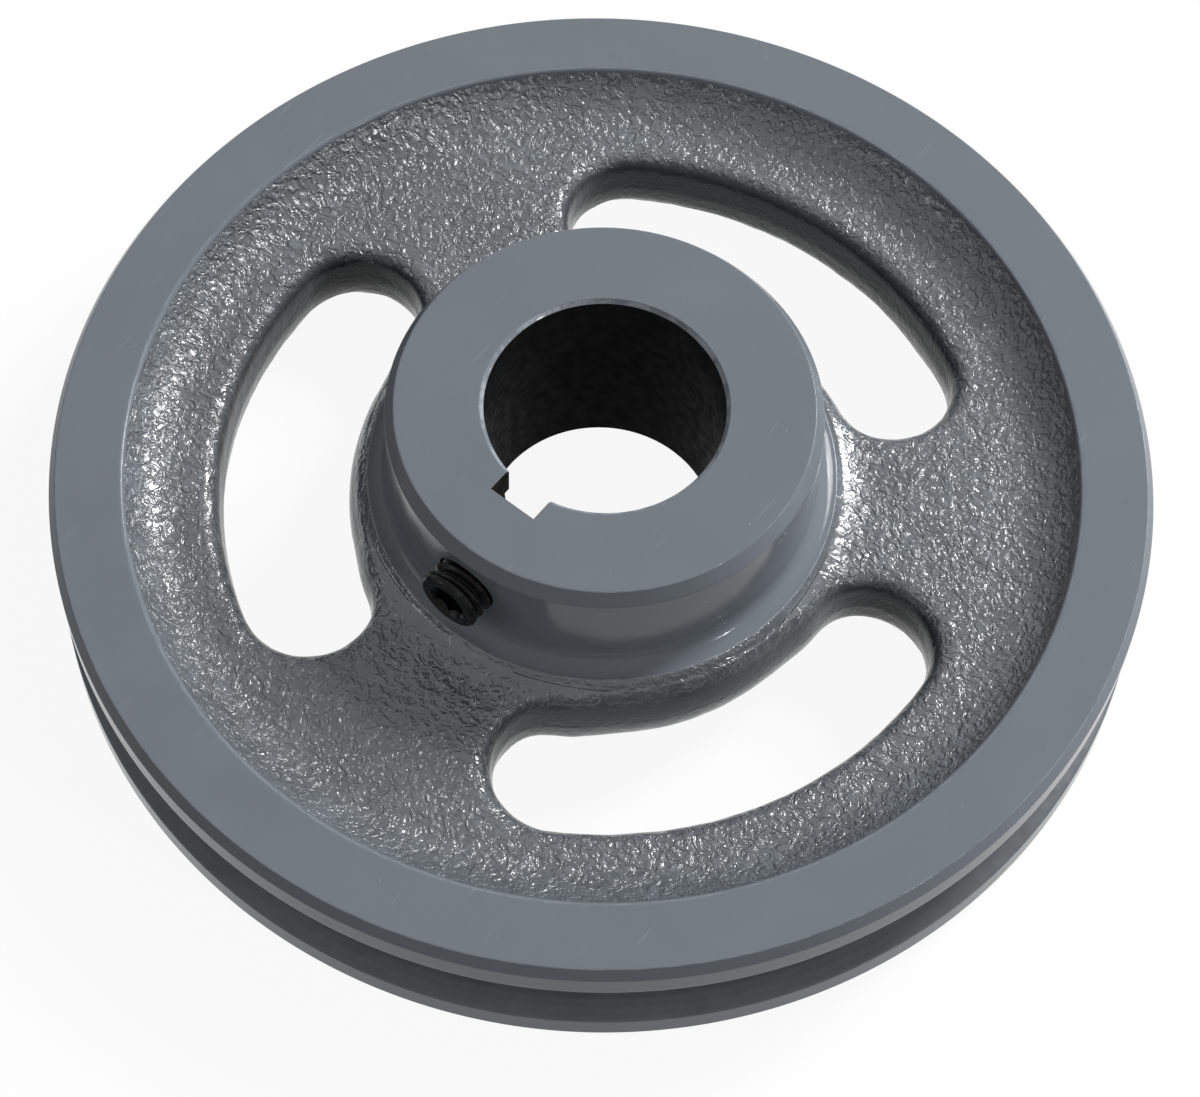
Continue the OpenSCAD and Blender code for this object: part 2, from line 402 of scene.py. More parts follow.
@dataclass(frozen=True)
class BlackSteel:
    """Black oxide on a hardened screw, rubbed a little brighter here and there."""

    colour: Colour = (0.0075, 0.0075, 0.0080)
    rubbed: Colour = (0.022, 0.023, 0.025)
    roughness: Point2 = (0.18, 0.30)
    skin_height: float = 0.07 * MM
    gloss: float = 0.09

    def make(self) -> Material:
        """Return the material."""
        sheet = NodeSheet.material("black_steel")
        at = sheet.coords()
        patches = sheet.ramp(sheet.noise(at, 900.0, 3.0, 0.6), 0.52, 0.72)
        colour = sheet.blend(patches, self.colour, self.rubbed)
        rough = sheet.uneven(at, 1600.0, *self.roughness)
        skin = sheet.bump(sheet.noise(at, 1800.0), self.skin_height, 0.8)
        return sheet.surface(colour, rough, skin, self.gloss)


def finish_mesh(bm: BMesh, name: str, materials: Sequence[Material]) -> Object:
    """Weld a bmesh drawn in millimetres, turn it outwards and make it an object.

    Args:
        bm: The mesh in millimetres; it is freed.
        name: Name of the object.
        materials: Its materials, in the order of the faces' indices.

    Returns:
        The object, at the origin.
    """
    bmesh.ops.remove_doubles(bm, verts=bm.verts, dist=1e-4)
    bmesh.ops.recalc_face_normals(bm, faces=bm.faces)
    bmesh.ops.scale(bm, vec=(MM, MM, MM), verts=bm.verts)
    for face in bm.faces:
        face.smooth = True
    mesh = bpy.data.meshes.new(name)
    bm.to_mesh(mesh)
    bm.free()
    for material in materials:
        mesh.materials.append(material)
    obj = bpy.data.objects.new(name, mesh)
    bpy.context.scene.collection.objects.link(obj)
    return obj


def carve(obj: Object, cutter: BMesh, operation: str = "DIFFERENCE",
          material: Optional[Material] = None) -> None:
    """Cut an object with a closed bmesh drawn in millimetres.

    Args:
        obj: Object to cut; its mesh is renewed.
        cutter: The tool's shape; it is freed.
        operation: Name of the boolean operation.
        material: Finish of the cut walls, or None for the object's first one.
    """
    tool = finish_mesh(cutter, "tool", [material or obj.data.materials[0]])
    step = obj.modifiers.new("cut", "BOOLEAN")
    step.object = tool
    step.operation = operation
    step.solver = "EXACT"
    step.material_mode = "TRANSFER"
    view = obj.evaluated_get(bpy.context.evaluated_depsgraph_get())
    renewed = bpy.data.meshes.new_from_object(view)
    obj.modifiers.clear()
    old = obj.data
    obj.data = renewed
    renewed.name = obj.name
    bpy.data.meshes.remove(old)
    bpy.data.objects.remove(tool)


def keep_crisp(bm: BMesh, degrees: float, region: Optional[Region] = None) -> None:
    """Keep the edges of a mesh sharp where its faces meet at an angle.

    Args:
        bm: The mesh.
        degrees: Smallest angle of an edge that stays sharp.
        region: Region that one of the edge's faces has, or None for any.
    """
    for edge in bm.edges:
        if len(edge.link_faces) == 2 and edge.calc_face_angle(0.0) > math.radians(degrees):
            if region is None or any(face.material_index == region.value for face in edge.link_faces):
                edge.smooth = False


def extrude_profile(bm: BMesh, loop: Iterable[BMEdge],
                    profile: Sequence[Ring]) -> None:
    """Draw a ring of edges along a half section, keeping each point's angle.

    Args:
        bm: The mesh.
        loop: The closed ring of edges to start from.
        profile: Radius, height and region of each next ring, in millimetres.
    """
    edges = list(loop)
    for radius, height, region in profile:
        made = bmesh.ops.extrude_edge_only(bm, edges=edges)["geom"]
        for vert in (v for v in made if isinstance(v, BMVert)):
            vert.co *= radius / math.hypot(vert.co.x, vert.co.y)
            vert.co.z = height
        for face in (f for f in made if isinstance(f, BMFace)):
            face.material_index = region.value
        new = {v for v in made if isinstance(v, BMVert)}
        edges = [e for e in made if isinstance(e, BMEdge) and all(v in new for v in e.verts)]


def softened(points: Sequence[tuple[float, float, float, Region]], support: float = 0.22,
             steps: int = 3) -> list[Ring]:
    """Round the corners of a half section and hold its flats with support rings.

    Args:
        points: Radius, height, corner radius and region of the flat that follows.
        support: Distance from a corner's round to its support ring.
        steps: Segments of each round.

    Returns:
        Radius, height and region of every ring after the first point.
    """
    rings: list[Ring] = []
    for index in range(1, len(points)):
        here = Vector(points[index][:2])
        back = Vector(points[index - 1][:2]) - here
        region = points[index - 1][3]
        corner = points[index][2]
        if index + 1 == len(points) or corner == 0.0:
            rings.append((here.x, here.y, region))
            continue
        on = Vector(points[index + 1][:2]) - here
        half = back.angle(on) / 2.0
        reach = corner / math.tan(half)
        lead, tail = back.normalized(), on.normalized()
        hold = min(support, 0.3 * min(back.length, on.length))
        rings.append((*(here + lead * (reach + hold)), region))
        middle = here + (lead + tail).normalized() * (corner / math.sin(half))
        start, end = here + lead * reach - middle, here + tail * reach - middle
        turn = start.angle_signed(end)
        for step in range(steps + 1):
            spot = start.copy()
            spot.rotate(Matrix.Rotation(-turn * step / steps, 2))
            rings.append((*(middle + spot), region if step < steps / 2 else points[index][3]))
        rings.append((*(here + tail * (reach + hold)), points[index][3]))
    return rings


def polar(radius: Union[float, np.ndarray], turn: np.ndarray) -> np.ndarray:
    """Return the x and y of points at these radii and angles, one row a point."""
    return np.stack([radius * np.cos(turn), radius * np.sin(turn)], 1)


@dataclass
class Casting:
    """The pulley itself, one casting with turned faces. Sizes in millimetres."""

    # Rim and groove.
    outside_r: float = 66.675
    rim_w: float = 19.05
    face_inner_r: float = 58.075
    edge_round: float = 0.5
    chamfer_r: float = 0.85
    chamfer_z: float = 1.5
    groove_w: float = 9.25
    groove_depth: float = 10.3
    groove_bottom_w: float = 2.16
    # Dished web and the boss inside it.
    web_half: float = 5.0
    dish_r: float = 8.0
    dish_start_r: float = 50.63
    shoulder_r: float = 28.5
    shoulder_drop: float = 2.7
    boss_r: float = 10.904
    boss_centre: float = 19.996
    boss_fillet: float = 3.0
    fillet_top: float = 6.7
    fillet_fade: float = 1.2
    # Windows; the belly is what each one gains towards the hub, in its middle.
    slot_r: float = 38.6
    slot_half: float = 7.7
    slot_end: float = 31.0
    draft: float = 6.0
    wall_round: float = 2.0
    lip_out: float = 2.3
    lip_foot: float = 3.07
    belly: float = 2.2
    belly_end: float = 33.0
    belly_fade: float = 16.0
    belly_run: float = 4.0
    first_window: float = -28.0
    border_end: float = 48.0
    sector_half: float = 60.0
    # Heights from the parting plane below which faces take the lip's and the wall's copies of the cast paint,
    # with less specular as painted shade.
    lip_z: float = 4.55
    wall_z: float = 3.75
    # Hub, bore, keyway and the set screw's hole.
    hub_r: float = 26.0
    hub_top: float = 31.75
    hub_back: float = 1.59
    hub_chamfer_r: float = 1.1
    hub_chamfer_z: float = 1.8
    hub_fillet: float = 2.5
    bore_r: float = 14.2875
    bore_chamfer: float = 0.5
    key_w: float = 6.35
    key_roof: float = 17.2375
    screw_z: float = 24.75
    hole_r: float = 3.999
    # Unevenness of the cast skin: height and span, where it fades out, and its share at mid height.
    fine_lift: Point2 = (0.07, 1.6)
    broad_lift: Point2 = (0.10, 4.6)
    lift_margin: Point2 = (0.9, 0.1)
    lift_run: float = 2.5
    lift_low: Point3 = (1.5, 3.0, 0.22)
    # Mesh.
    weld: float = 2e-3
    first_row: float = 0.18
    columns: tuple[int, int, int, int, int] = (108, 16, 42, 14, 72)
    rows: tuple[int, int] = (32, 18)

    @property
    def mid(self) -> float:
        """Height of the parting plane."""
        return self.rim_w / 2.0

    @property
    def back_r(self) -> float:
        """Radius of the boss where it meets the hub's back face."""
        return self.boss_centre + math.sqrt(self.boss_r ** 2 - (self.mid - self.hub_back) ** 2)

    def depth(self, at: np.ndarray) -> np.ndarray:
        """Say how far points lie outside the cast skin, about and below zero inside.

        Args:
            at: Points of one sector, its window centred on +X, with z from the parting plane.

        Returns:
            One signed distance a point.
        """
        r = np.hypot(at[:, 0], at[:, 1])
        turn = np.abs(np.arctan2(at[:, 1], at[:, 0]))
        high = np.abs(at[:, 2])
        run = np.clip(r - self.dish_start_r, 0.0, self.dish_r * 0.995)
        slab = high - (self.web_half + self.dish_r - np.sqrt(self.dish_r ** 2 - run ** 2))
        end = math.radians(self.slot_end)
        to_end = r ** 2 + self.slot_r ** 2 - 2 * r * self.slot_r * np.cos(turn - end)
        to_end = np.sqrt(np.maximum(to_end, 0.0))
        slot = np.where(turn <= end, np.abs(r - self.slot_r), to_end) - self.slot_half
        ramp = np.clip((math.radians(self.belly_end) - turn) / math.radians(self.belly_fade), 0.0, 1.0)
        inward = np.clip((self.slot_r - r) / self.belly_run, 0.0, 1.0)
        slot = slot - self.belly * ramp * ramp * (3 - 2 * ramp) * inward
        lean = math.radians(self.draft)
        wall = (high * math.tan(lean) - slot) * math.cos(lean)
        k = self.wall_round
        web = -k + np.hypot(np.maximum(slab + k, 0), np.maximum(wall + k, 0))
        web = web + np.minimum(np.maximum(slab + k, wall + k), 0)
        boss = np.hypot(r - self.boss_centre, at[:, 2]) - self.boss_r
        k = self.boss_fillet * np.clip((self.fillet_top - high) / self.fillet_fade, 0.02, 1.0)
        near = np.maximum(k - np.abs(web - boss), 0.0) / k
        return np.minimum(web, boss) - near * near * k / 4.0

    def slope(self, at: np.ndarray) -> np.ndarray:
        """Return the gradient of depth at the points, by small steps."""
        made, small = np.empty_like(at), 0.01
        for axis, step in enumerate(small * np.eye(3)):
            made[:, axis] = (self.depth(at + step) - self.depth(at - step)) / (2.0 * small)
        return made

    def settle(self, at: np.ndarray, rounds: int = 10) -> np.ndarray:
        """Bring points onto the cast skin along its slope.

        Args:
            at: Points, rows by columns by 3; the first row stays.
            rounds: How often they are moved.

        Returns:
            The points on the skin.
        """
        least_slope, longest_move = 0.05, 0.6
        flat = at[1:].reshape(-1, 3).copy()
        for _ in range(rounds):
            lean = self.slope(flat)
            size = np.maximum((lean ** 2).sum(1), least_slope)
            move = -(self.depth(flat) / size)[:, None] * lean
            length = np.linalg.norm(move, axis=1, keepdims=True)
            flat += move * np.minimum(1.0, longest_move / np.maximum(length, 1e-9))
        made = at.copy()
        made[1:] = flat.reshape(at[1:].shape)
        return made

    def outline(self) -> tuple[np.ndarray, np.ndarray, np.ndarray]:
        """Walk once round one window.

        Returns:
            Points on the sector's border above, points on it below, and the
            slot's middle line with its outward direction as x, y, dx, dy.
        """
        arc, rim_part, side, hub_part, inner = self.columns
        outer_r, inner_r = self.face_inner_r - self.edge_round, self.shoulder_r
        end, border = math.radians(self.slot_end), math.radians(self.border_end)
        seam = math.radians(self.sector_half)
        ring: list[tuple[float, float, float, float, float]] = []
        ends = rim_part + side + hub_part
        for i in range(arc):
            t = 2.0 * i / arc - 1.0
            ring.append((outer_r, outer_r, border * t, end * t, 0.0))
        for i in range(ends):
            if i < rim_part:
                place = (outer_r, outer_r, border + (seam - border) * i / rim_part)
            elif i < rim_part + side:
                t = (i - rim_part) / side
                place = (outer_r + (inner_r - outer_r) * t, outer_r + (self.back_r - outer_r) * t, seam)
            else:
                t = (i - rim_part - side) / hub_part
                place = (inner_r, self.back_r, seam + (border - seam) * t)
            ring.append((*place, end, math.pi * i / ends))
        for i in range(inner):
            t = 1.0 - 2.0 * i / inner
            ring.append((inner_r, self.back_r, border * t, end * t, math.pi))
        for top_r, low_r, turn, mid_turn, swing in reversed(ring[arc + 1:arc + ends]):
            ring.append((top_r, low_r, -turn, -mid_turn, -swing))
        ring.insert(arc + ends + inner, (inner_r, self.back_r, -border, -end, math.pi))
        top, low, turn, mid_turn, swing = np.array(ring).T
        line = np.hstack([polar(self.slot_r, mid_turn), polar(1.0, mid_turn + swing)])
        return polar(top, turn), polar(low, turn), line

    def border_height(self, border: np.ndarray, side: float) -> np.ndarray:
        """Say how far the cast skin lies from the parting plane along a sector's border."""
        radius = np.hypot(border[:, 0], border[:, 1])
        run = np.clip(radius - self.dish_start_r, 0.0, self.dish_r)
        web = self.web_half + self.dish_r - np.sqrt(self.dish_r ** 2 - run ** 2)
        hump = np.sqrt(np.maximum(self.boss_r ** 2 - (radius - self.boss_centre) ** 2, 0.0))
        top = np.maximum(web, np.where(radius < self.shoulder_r + 1.2, hump, 0.0))
        top = np.where(radius > self.face_inner_r - self.edge_round - 0.01, self.mid - self.edge_round, top)
        inland = (np.abs(radius - radius.min()) > 0.01) & (radius < radius.max() - 0.01)
        for _ in range(12):
            here = np.column_stack([border, side * top])
            top = np.where(inland, top - np.clip(self.depth(here), -0.3, 0.3), top)
        return top

    def respaced(self, points: np.ndarray, rows: int) -> np.ndarray:
        """Space points evenly along their columns, with a short first step as a support ring."""
        steps = np.linalg.norm(np.diff(points, axis=0), axis=2)
        along = np.vstack([np.zeros(steps.shape[1]), np.cumsum(steps, 0)])
        even = np.empty((rows + 1, points.shape[1], 3))
        for column, (path, whole) in enumerate(zip(along.T, along[-1])):
            wanted = np.concatenate([[0.0], np.linspace(self.first_row / whole, 1.0, rows)])
            for axis in range(3):
                even[:, column, axis] = np.interp(wanted * whole, path, points[:, column, axis])
        return even

    def on_parting(self, row: np.ndarray) -> np.ndarray:
        """Bring a row of points onto the window's wall without leaving the parting plane."""
        flat = row.copy()
        flat[:, 2] = 0.0
        for _ in range(5):
            lean = self.slope(flat)
            lean[:, 2] = 0.0
            size = np.maximum((lean ** 2).sum(1), 0.2)
            flat -= (self.depth(flat) / size)[:, None] * lean
        return flat

    def skin_half(self, border: np.ndarray, line: np.ndarray, side: float, rows: int) -> np.ndarray:
        """Lay evenly spaced rings of points from the sector's border to the parting plane.

        Args:
            border: Points on the border, in plan.
            line: The slot's middle line with its outward direction.
            side: 1 above the parting plane, -1 below.
            rows: Number of steps.

        Returns:
            rows + 1 by columns by 3 points, z from the parting plane.
        """
        def ring(out: float, high: float) -> np.ndarray:
            """Return points at a distance from the middle line and from the parting plane."""
            return np.column_stack([line[:, :2] + line[:, 2:] * out, np.full(len(line), side * high)])

        lean = math.radians(self.draft)
        top = self.border_height(border, side)
        lip = self.slot_half + self.lip_out
        edge = line[:, :2] + line[:, 2:] * lip
        path = []
        for t in np.linspace(0.0, 1.0, 40):
            plan = border + (edge - border) * t
            path.append(np.column_stack([plan, side * (top + (self.web_half - top) * min(1.0, 4 * t))]))
        for t in np.linspace(0.05, 1.0, 12):
            swing = t * (math.pi / 2 - lean)
            path.append(ring(lip - self.wall_round * math.sin(swing),
                             self.lip_foot + self.wall_round * math.cos(swing)))
        for t in np.linspace(0.1, 1.0, 12):
            high = self.lip_foot * (1.0 - t)
            path.append(ring(self.slot_half + high * math.tan(lean), high))
        points = self.settle(np.array(path))
        points[0, :, 2] = side * top
        points[-1, :, 2] = 0.0
        for _ in range(2):
            points = self.settle(self.respaced(points, rows), 6)
            points[-1] = self.on_parting(points[-1])
        return points

    def sector(self) -> np.ndarray:
        """Return the cast skin of one sector, rows by columns by 3, from border above to border below."""
        above, below, line = self.outline()
        upper = self.skin_half(above, line, 1.0, self.rows[0])
        lower = self.skin_half(below, line, -1.0, self.rows[1])
        return np.concatenate([upper, lower[::-1][1:]], axis=0)

    def roughen(self, skin: np.ndarray, turn: float) -> np.ndarray:
        """Turn a sector to its place and give it the small unevenness of a sand casting.

        Args:
            skin: Points of the sector as built.
            turn: Angle of the window's centre, in radians.

        Returns:
            The points in the pulley's own place.
        """
        rows, columns, _ = skin.shape
        lean = self.slope(skin.reshape(-1, 3))
        lean /= np.maximum(np.linalg.norm(lean, axis=1, keepdims=True), 1e-6)
        spin = np.array([[math.cos(turn), -math.sin(turn), 0.0],
                         [math.sin(turn), math.cos(turn), 0.0],
                         [0.0, 0.0, 1.0]])
        placed = skin.reshape(-1, 3) @ spin.T
        normal = lean @ spin.T
        radius = np.hypot(placed[:, 0], placed[:, 1])
        at_rim, at_hub = self.lift_margin
        fade = np.clip((self.face_inner_r - at_rim - radius) / self.lift_run, 0.0, 1.0)
        fade *= np.clip((radius - self.shoulder_r - at_hub) / self.lift_run, 0.0, 1.0)
        low, low_run, low_share = self.lift_low
        fade *= np.clip((np.abs(placed[:, 2]) - low) / low_run, low_share, 1.0)
        (fine, fine_span), (broad, broad_span) = self.fine_lift, self.broad_lift
        aside = Vector((9, 3, 5))
        lift = np.array([fine * noise.noise(Vector(p) / fine_span)
                         + broad * noise.noise(Vector(p) / broad_span + aside) for p in placed])
        fade[:columns] = 0.0
        fade[-columns:] = 0.0
        placed = placed + normal * (lift * fade)[:, None]
        placed[:, 2] += self.mid
        return placed.reshape(rows, columns, 3)

    def skin_region(self, spot: Vector) -> Region:
        """Say whether a spot on the cast skin is web, lip or window wall."""
        high = abs(spot.z - self.mid)
        if high > self.lip_z:
            return Region.CAST
        return Region.LIP if high > self.wall_z else Region.WALL

    def add_sector(self, bm: BMesh, points: np.ndarray) -> None:
        """Bend a fresh grid over a sector's points, whose last column meets the first."""
        rows, columns = points.shape[0] - 1, points.shape[1]
        made = bmesh.ops.create_grid(bm, x_segments=columns, y_segments=rows, size=1.0)["verts"]
        for vert in made:
            column = round((vert.co.x + 1.0) / 2.0 * columns)
            row = round((vert.co.y + 1.0) / 2.0 * rows)
            vert.co = points[row, column % columns]

    def ring_at(self, bm: BMesh, radius: float, height: float) -> list[BMEdge]:
        """Return the open edges that lie on a circle about the axis."""
        near = 0.02
        on = {v for v in bm.verts
              if abs(math.hypot(v.co.x, v.co.y) - radius) < near and abs(v.co.z - height) < near}
        return [e for e in bm.edges if e.is_boundary and on.issuperset(e.verts)]

    def rim_profile(self) -> list[Ring]:
        """Return the turned rim's rings from the dish's upper lip round to its lower lip."""
        turned, groove = Region.TURNED, Region.GROOVE
        inner, lip = self.face_inner_r - self.edge_round, self.edge_round
        half = self.groove_w / 2.0
        upper = [(inner, self.rim_w - lip, 0.0, turned)]
        for step in range(1, 5):
            a = math.radians(22.5 * step)
            upper.append((self.face_inner_r - lip * math.cos(a), self.rim_w - lip + lip * math.sin(a), 0.0,
                          turned))
        upper += [
            (self.face_inner_r + 0.3, self.rim_w, 0.0, turned),
            (self.outside_r - self.chamfer_r, self.rim_w, 0.14, turned),
            (self.outside_r, self.rim_w - self.chamfer_z, 0.12, turned),
            (self.outside_r, self.mid + half, 0.12, groove),
            (self.outside_r - self.groove_depth, self.mid + self.groove_bottom_w / 2.0, 0.2, groove),
        ]
        lower = [(r, self.rim_w - z, c, upper[max(i - 1, 0)][3]) for i, (r, z, c, _) in enumerate(upper)]
        return softened(upper + lower[::-1])

    def hub_profile(self) -> list[Ring]:
        """Return the turned hub's rings from the boss's shoulder over the nose and through the bore."""
        turned, bore = Region.TURNED, Region.BORE
        foot = self.rim_w - self.shoulder_drop
        points = [(self.shoulder_r, foot, 0.0, turned), (self.shoulder_r - 0.14, foot + 0.004, 0.0, turned)]
        for step in range(1, 9):
            a = math.radians(11.25 * step)
            points.append((self.shoulder_r - self.hub_fillet * math.sin(a),
                           foot + self.hub_fillet * (1.0 - math.cos(a)), 0.0, turned))
        points += [
            (self.hub_r, foot + self.hub_fillet + 0.4, 0.0, turned),
            (self.hub_r, self.hub_top - self.hub_chamfer_z, 0.2, turned),
            (self.hub_r - self.hub_chamfer_r, self.hub_top, 0.18, turned),
            (self.bore_r + self.bore_chamfer, self.hub_top, 0.06, turned),
            (self.bore_r, self.hub_top - self.bore_chamfer, 0.06, bore),
            (self.bore_r, self.hub_back + self.bore_chamfer, 0.06, turned),
            (self.bore_r + self.bore_chamfer, self.hub_back, 0.06, turned),
            (self.back_r - 0.25, self.hub_back, 0.0, turned),
            (self.back_r, self.hub_back, 0.0, turned),
        ]
        return softened(points)

    def build(self, materials: Sequence[Material]) -> Object:
        """Make the casting, its finishes in the order of Region."""
        bm = bmesh.new()
        skin = self.sector()
        for index in range(3):
            turn = math.radians(self.first_window + 2.0 * self.sector_half * index)
            self.add_sector(bm, self.roughen(skin, turn))
        bmesh.ops.remove_doubles(bm, verts=bm.verts, dist=self.weld)
        for face in bm.faces:
            face.material_index = self.skin_region(face.calc_center_median()).value
        lip = self.ring_at(bm, self.face_inner_r - self.edge_round, self.rim_w - self.edge_round)
        extrude_profile(bm, lip, self.rim_profile())
        shoulder = self.ring_at(bm, self.shoulder_r, self.rim_w - self.shoulder_drop)
        extrude_profile(bm, shoulder, self.hub_profile())
        bmesh.ops.remove_doubles(bm, verts=bm.verts, dist=self.weld)
        loose = [e for e in bm.edges if not e.is_manifold]
        LOG.info("casting: %d faces, %d open edges", len(bm.faces), len(loose))
        obj = finish_mesh(bm, "casting", materials)
        carve(obj, self.keyway_tool(), material=materials[Region.BORE.value])
        carve(obj, self.hole_tool(), material=materials[Region.BORE.value])
        bm = bmesh.new()
        bm.from_mesh(obj.data)
        keep_crisp(bm, 28.0, Region.BORE)
        bm.to_mesh(obj.data)
        bm.free()
        return obj

    def keyway_tool(self) -> BMesh:
        """Return the block that cuts the keyway."""
        bm = bmesh.new()
        made = bmesh.ops.create_cube(bm, size=1.0)["verts"]
        start, tall, middle_z = 8.0, 40.0, 16.0
        depth = self.key_roof - start
        bmesh.ops.scale(bm, vec=(self.key_w, depth, tall), verts=made)
        bmesh.ops.translate(bm, vec=(0.0, -start - depth / 2.0, middle_z), verts=made)
        return bm

    def hole_tool(self) -> BMesh:
        """Return the rod that cuts the set screw's hole."""
        bm = bmesh.new()
        lying = Matrix.Rotation(math.radians(90.0), 4, "X")
        made = bmesh.ops.create_cone(bm, cap_ends=True, segments=72, radius1=self.hole_r, radius2=self.hole_r,
                                     depth=20.0, matrix=lying)["verts"]
        bmesh.ops.translate(bm, vec=(0.0, -20.0, self.screw_z), verts=made)
        return bm


@dataclass
class SetScrew:
    """The threaded socket set screw in the hub. Sizes in millimetres."""

    radius: float = 3.969
    length: float = 9.525
    pitch: float = 1.411
    thread_depth: float = 0.76
    out_r: float = 29.2
    axis_z: float = 24.75
    chamfer: float = 0.6
    end_chamfer: float = 0.28
    ring: float = 0.75
    across_flats: float = 3.97
    socket_depth: float = 4.5
    mouth_d: float = 5.1
    cup_d: float = 4.0
    steps: int = 72
    tool_sides: int = 48
    tool_over: float = 1.0

    def thread(self) -> BMesh:
        """Return the closed, plain-ended thread, its point at z = 0."""
        bm = bmesh.new()
        root = self.radius - self.thread_depth
        shape: list[Point2] = [(0.0, root), (0.10, root), (0.44, self.radius - 0.05), (0.49, self.radius),
                               (0.61, self.radius), (0.66, self.radius - 0.05)]
        turns = math.ceil(self.length / self.pitch) + 3
        verts = [bm.verts.new((r, 0.0, (turn - 2 + t) * self.pitch))
                 for turn in range(turns) for t, r in shape]
        edges = [bm.edges.new(pair) for pair in zip(verts, verts[1:])]
        bmesh.ops.spin(bm, geom=verts + edges, cent=(0, 0, 0), axis=(0, 0, 1), angle=math.tau,
                       steps=self.steps, dvec=(0, 0, self.pitch / self.steps), use_merge=False)
        bmesh.ops.remove_doubles(bm, verts=bm.verts, dist=1e-3)
        for height, way in ((0.0, -1.0), (self.length, 1.0)):
            cut = bmesh.ops.bisect_plane(bm, geom=bm.verts[:] + bm.edges[:] + bm.faces[:], dist=1e-5,
                                         plane_co=(0, 0, height), plane_no=(0, 0, way), clear_outer=True)
            rim = [e for e in cut["geom_cut"] if isinstance(e, BMEdge)]
            bmesh.ops.edgeloop_fill(bm, edges=rim)
        return bm

    def blank(self) -> BMesh:
        """Return the chamfered bar that trims the thread's two ends."""
        bm = bmesh.new()
        cut, out = self.chamfer, self.end_chamfer
        points = [(0.0, -0.002), (self.radius - cut, 0.0), (self.radius + 0.2, cut + 0.2),
                  (self.radius + 0.2, self.length - out - 0.2), (self.radius - out, self.length),
                  (0.0, self.length + 0.002)]
        verts = [bm.verts.new((r, 0.0, z)) for r, z in points]
        edges = [bm.edges.new(pair) for pair in zip(verts, verts[1:])]
        bmesh.ops.spin(bm, geom=verts + edges, cent=(0, 0, 0), axis=(0, 0, 1), angle=math.tau,
                       steps=self.steps, use_merge=True)
        return bm

    def cone(self, low_r: float, high_r: float, bottom: float, top: float, sides: int) -> BMesh:
        """Return a closed cone or prism on the screw's axis, as a cutting tool."""
        bm = bmesh.new()
        made = bmesh.ops.create_cone(bm, cap_ends=True, segments=sides, radius1=low_r, radius2=high_r,
                                     depth=top - bottom)["verts"]
        bmesh.ops.translate(bm, vec=(0.0, 0.0, (top + bottom) / 2.0), verts=made)
        return bm

    def build(self, material: Material) -> Object:
        """Make the screw in its place in the hub, in one finish."""
        obj = finish_mesh(self.thread(), "threaded_set_screw", [material])
        crown = self.radius - 0.04
        carve(obj, self.cone(crown, crown, self.length - self.ring, self.length + 0.01, self.steps), "UNION")
        carve(obj, self.blank(), "INTERSECT")
        hex_r = self.across_flats / 2.0 / math.cos(math.radians(30.0))
        over = self.length + self.tool_over
        carve(obj, self.cone(hex_r, hex_r, self.length - self.socket_depth, over, 6))
        flare = (self.mouth_d - self.across_flats) / 2.0
        carve(obj, self.cone(self.across_flats / 2.0 - 0.6, self.mouth_d / 2.0 + self.tool_over,
                             self.length - flare - 0.6, over, self.tool_sides))
        carve(obj, self.cone(self.cup_d / 2.0 + self.tool_over, 0.02, -self.tool_over / 2.0,
                             self.cup_d / 4.0, self.tool_sides))
        inner = self.out_r - self.length
        place = (Matrix.Translation((0.0, -inner * MM, self.axis_z * MM))
                 @ Matrix.Rotation(math.radians(90.0), 4, "X"))
        obj.data.transform(place)
        bm = bmesh.new()
        bm.from_mesh(obj.data)
        bmesh.ops.remove_doubles(bm, verts=bm.verts, dist=2e-7)
        bmesh.ops.recalc_face_normals(bm, faces=bm.faces)
        for face in bm.faces:
            face.smooth = True
        keep_crisp(bm, 35.0)
        bm.to_mesh(obj.data)
        bm.free()
        return obj


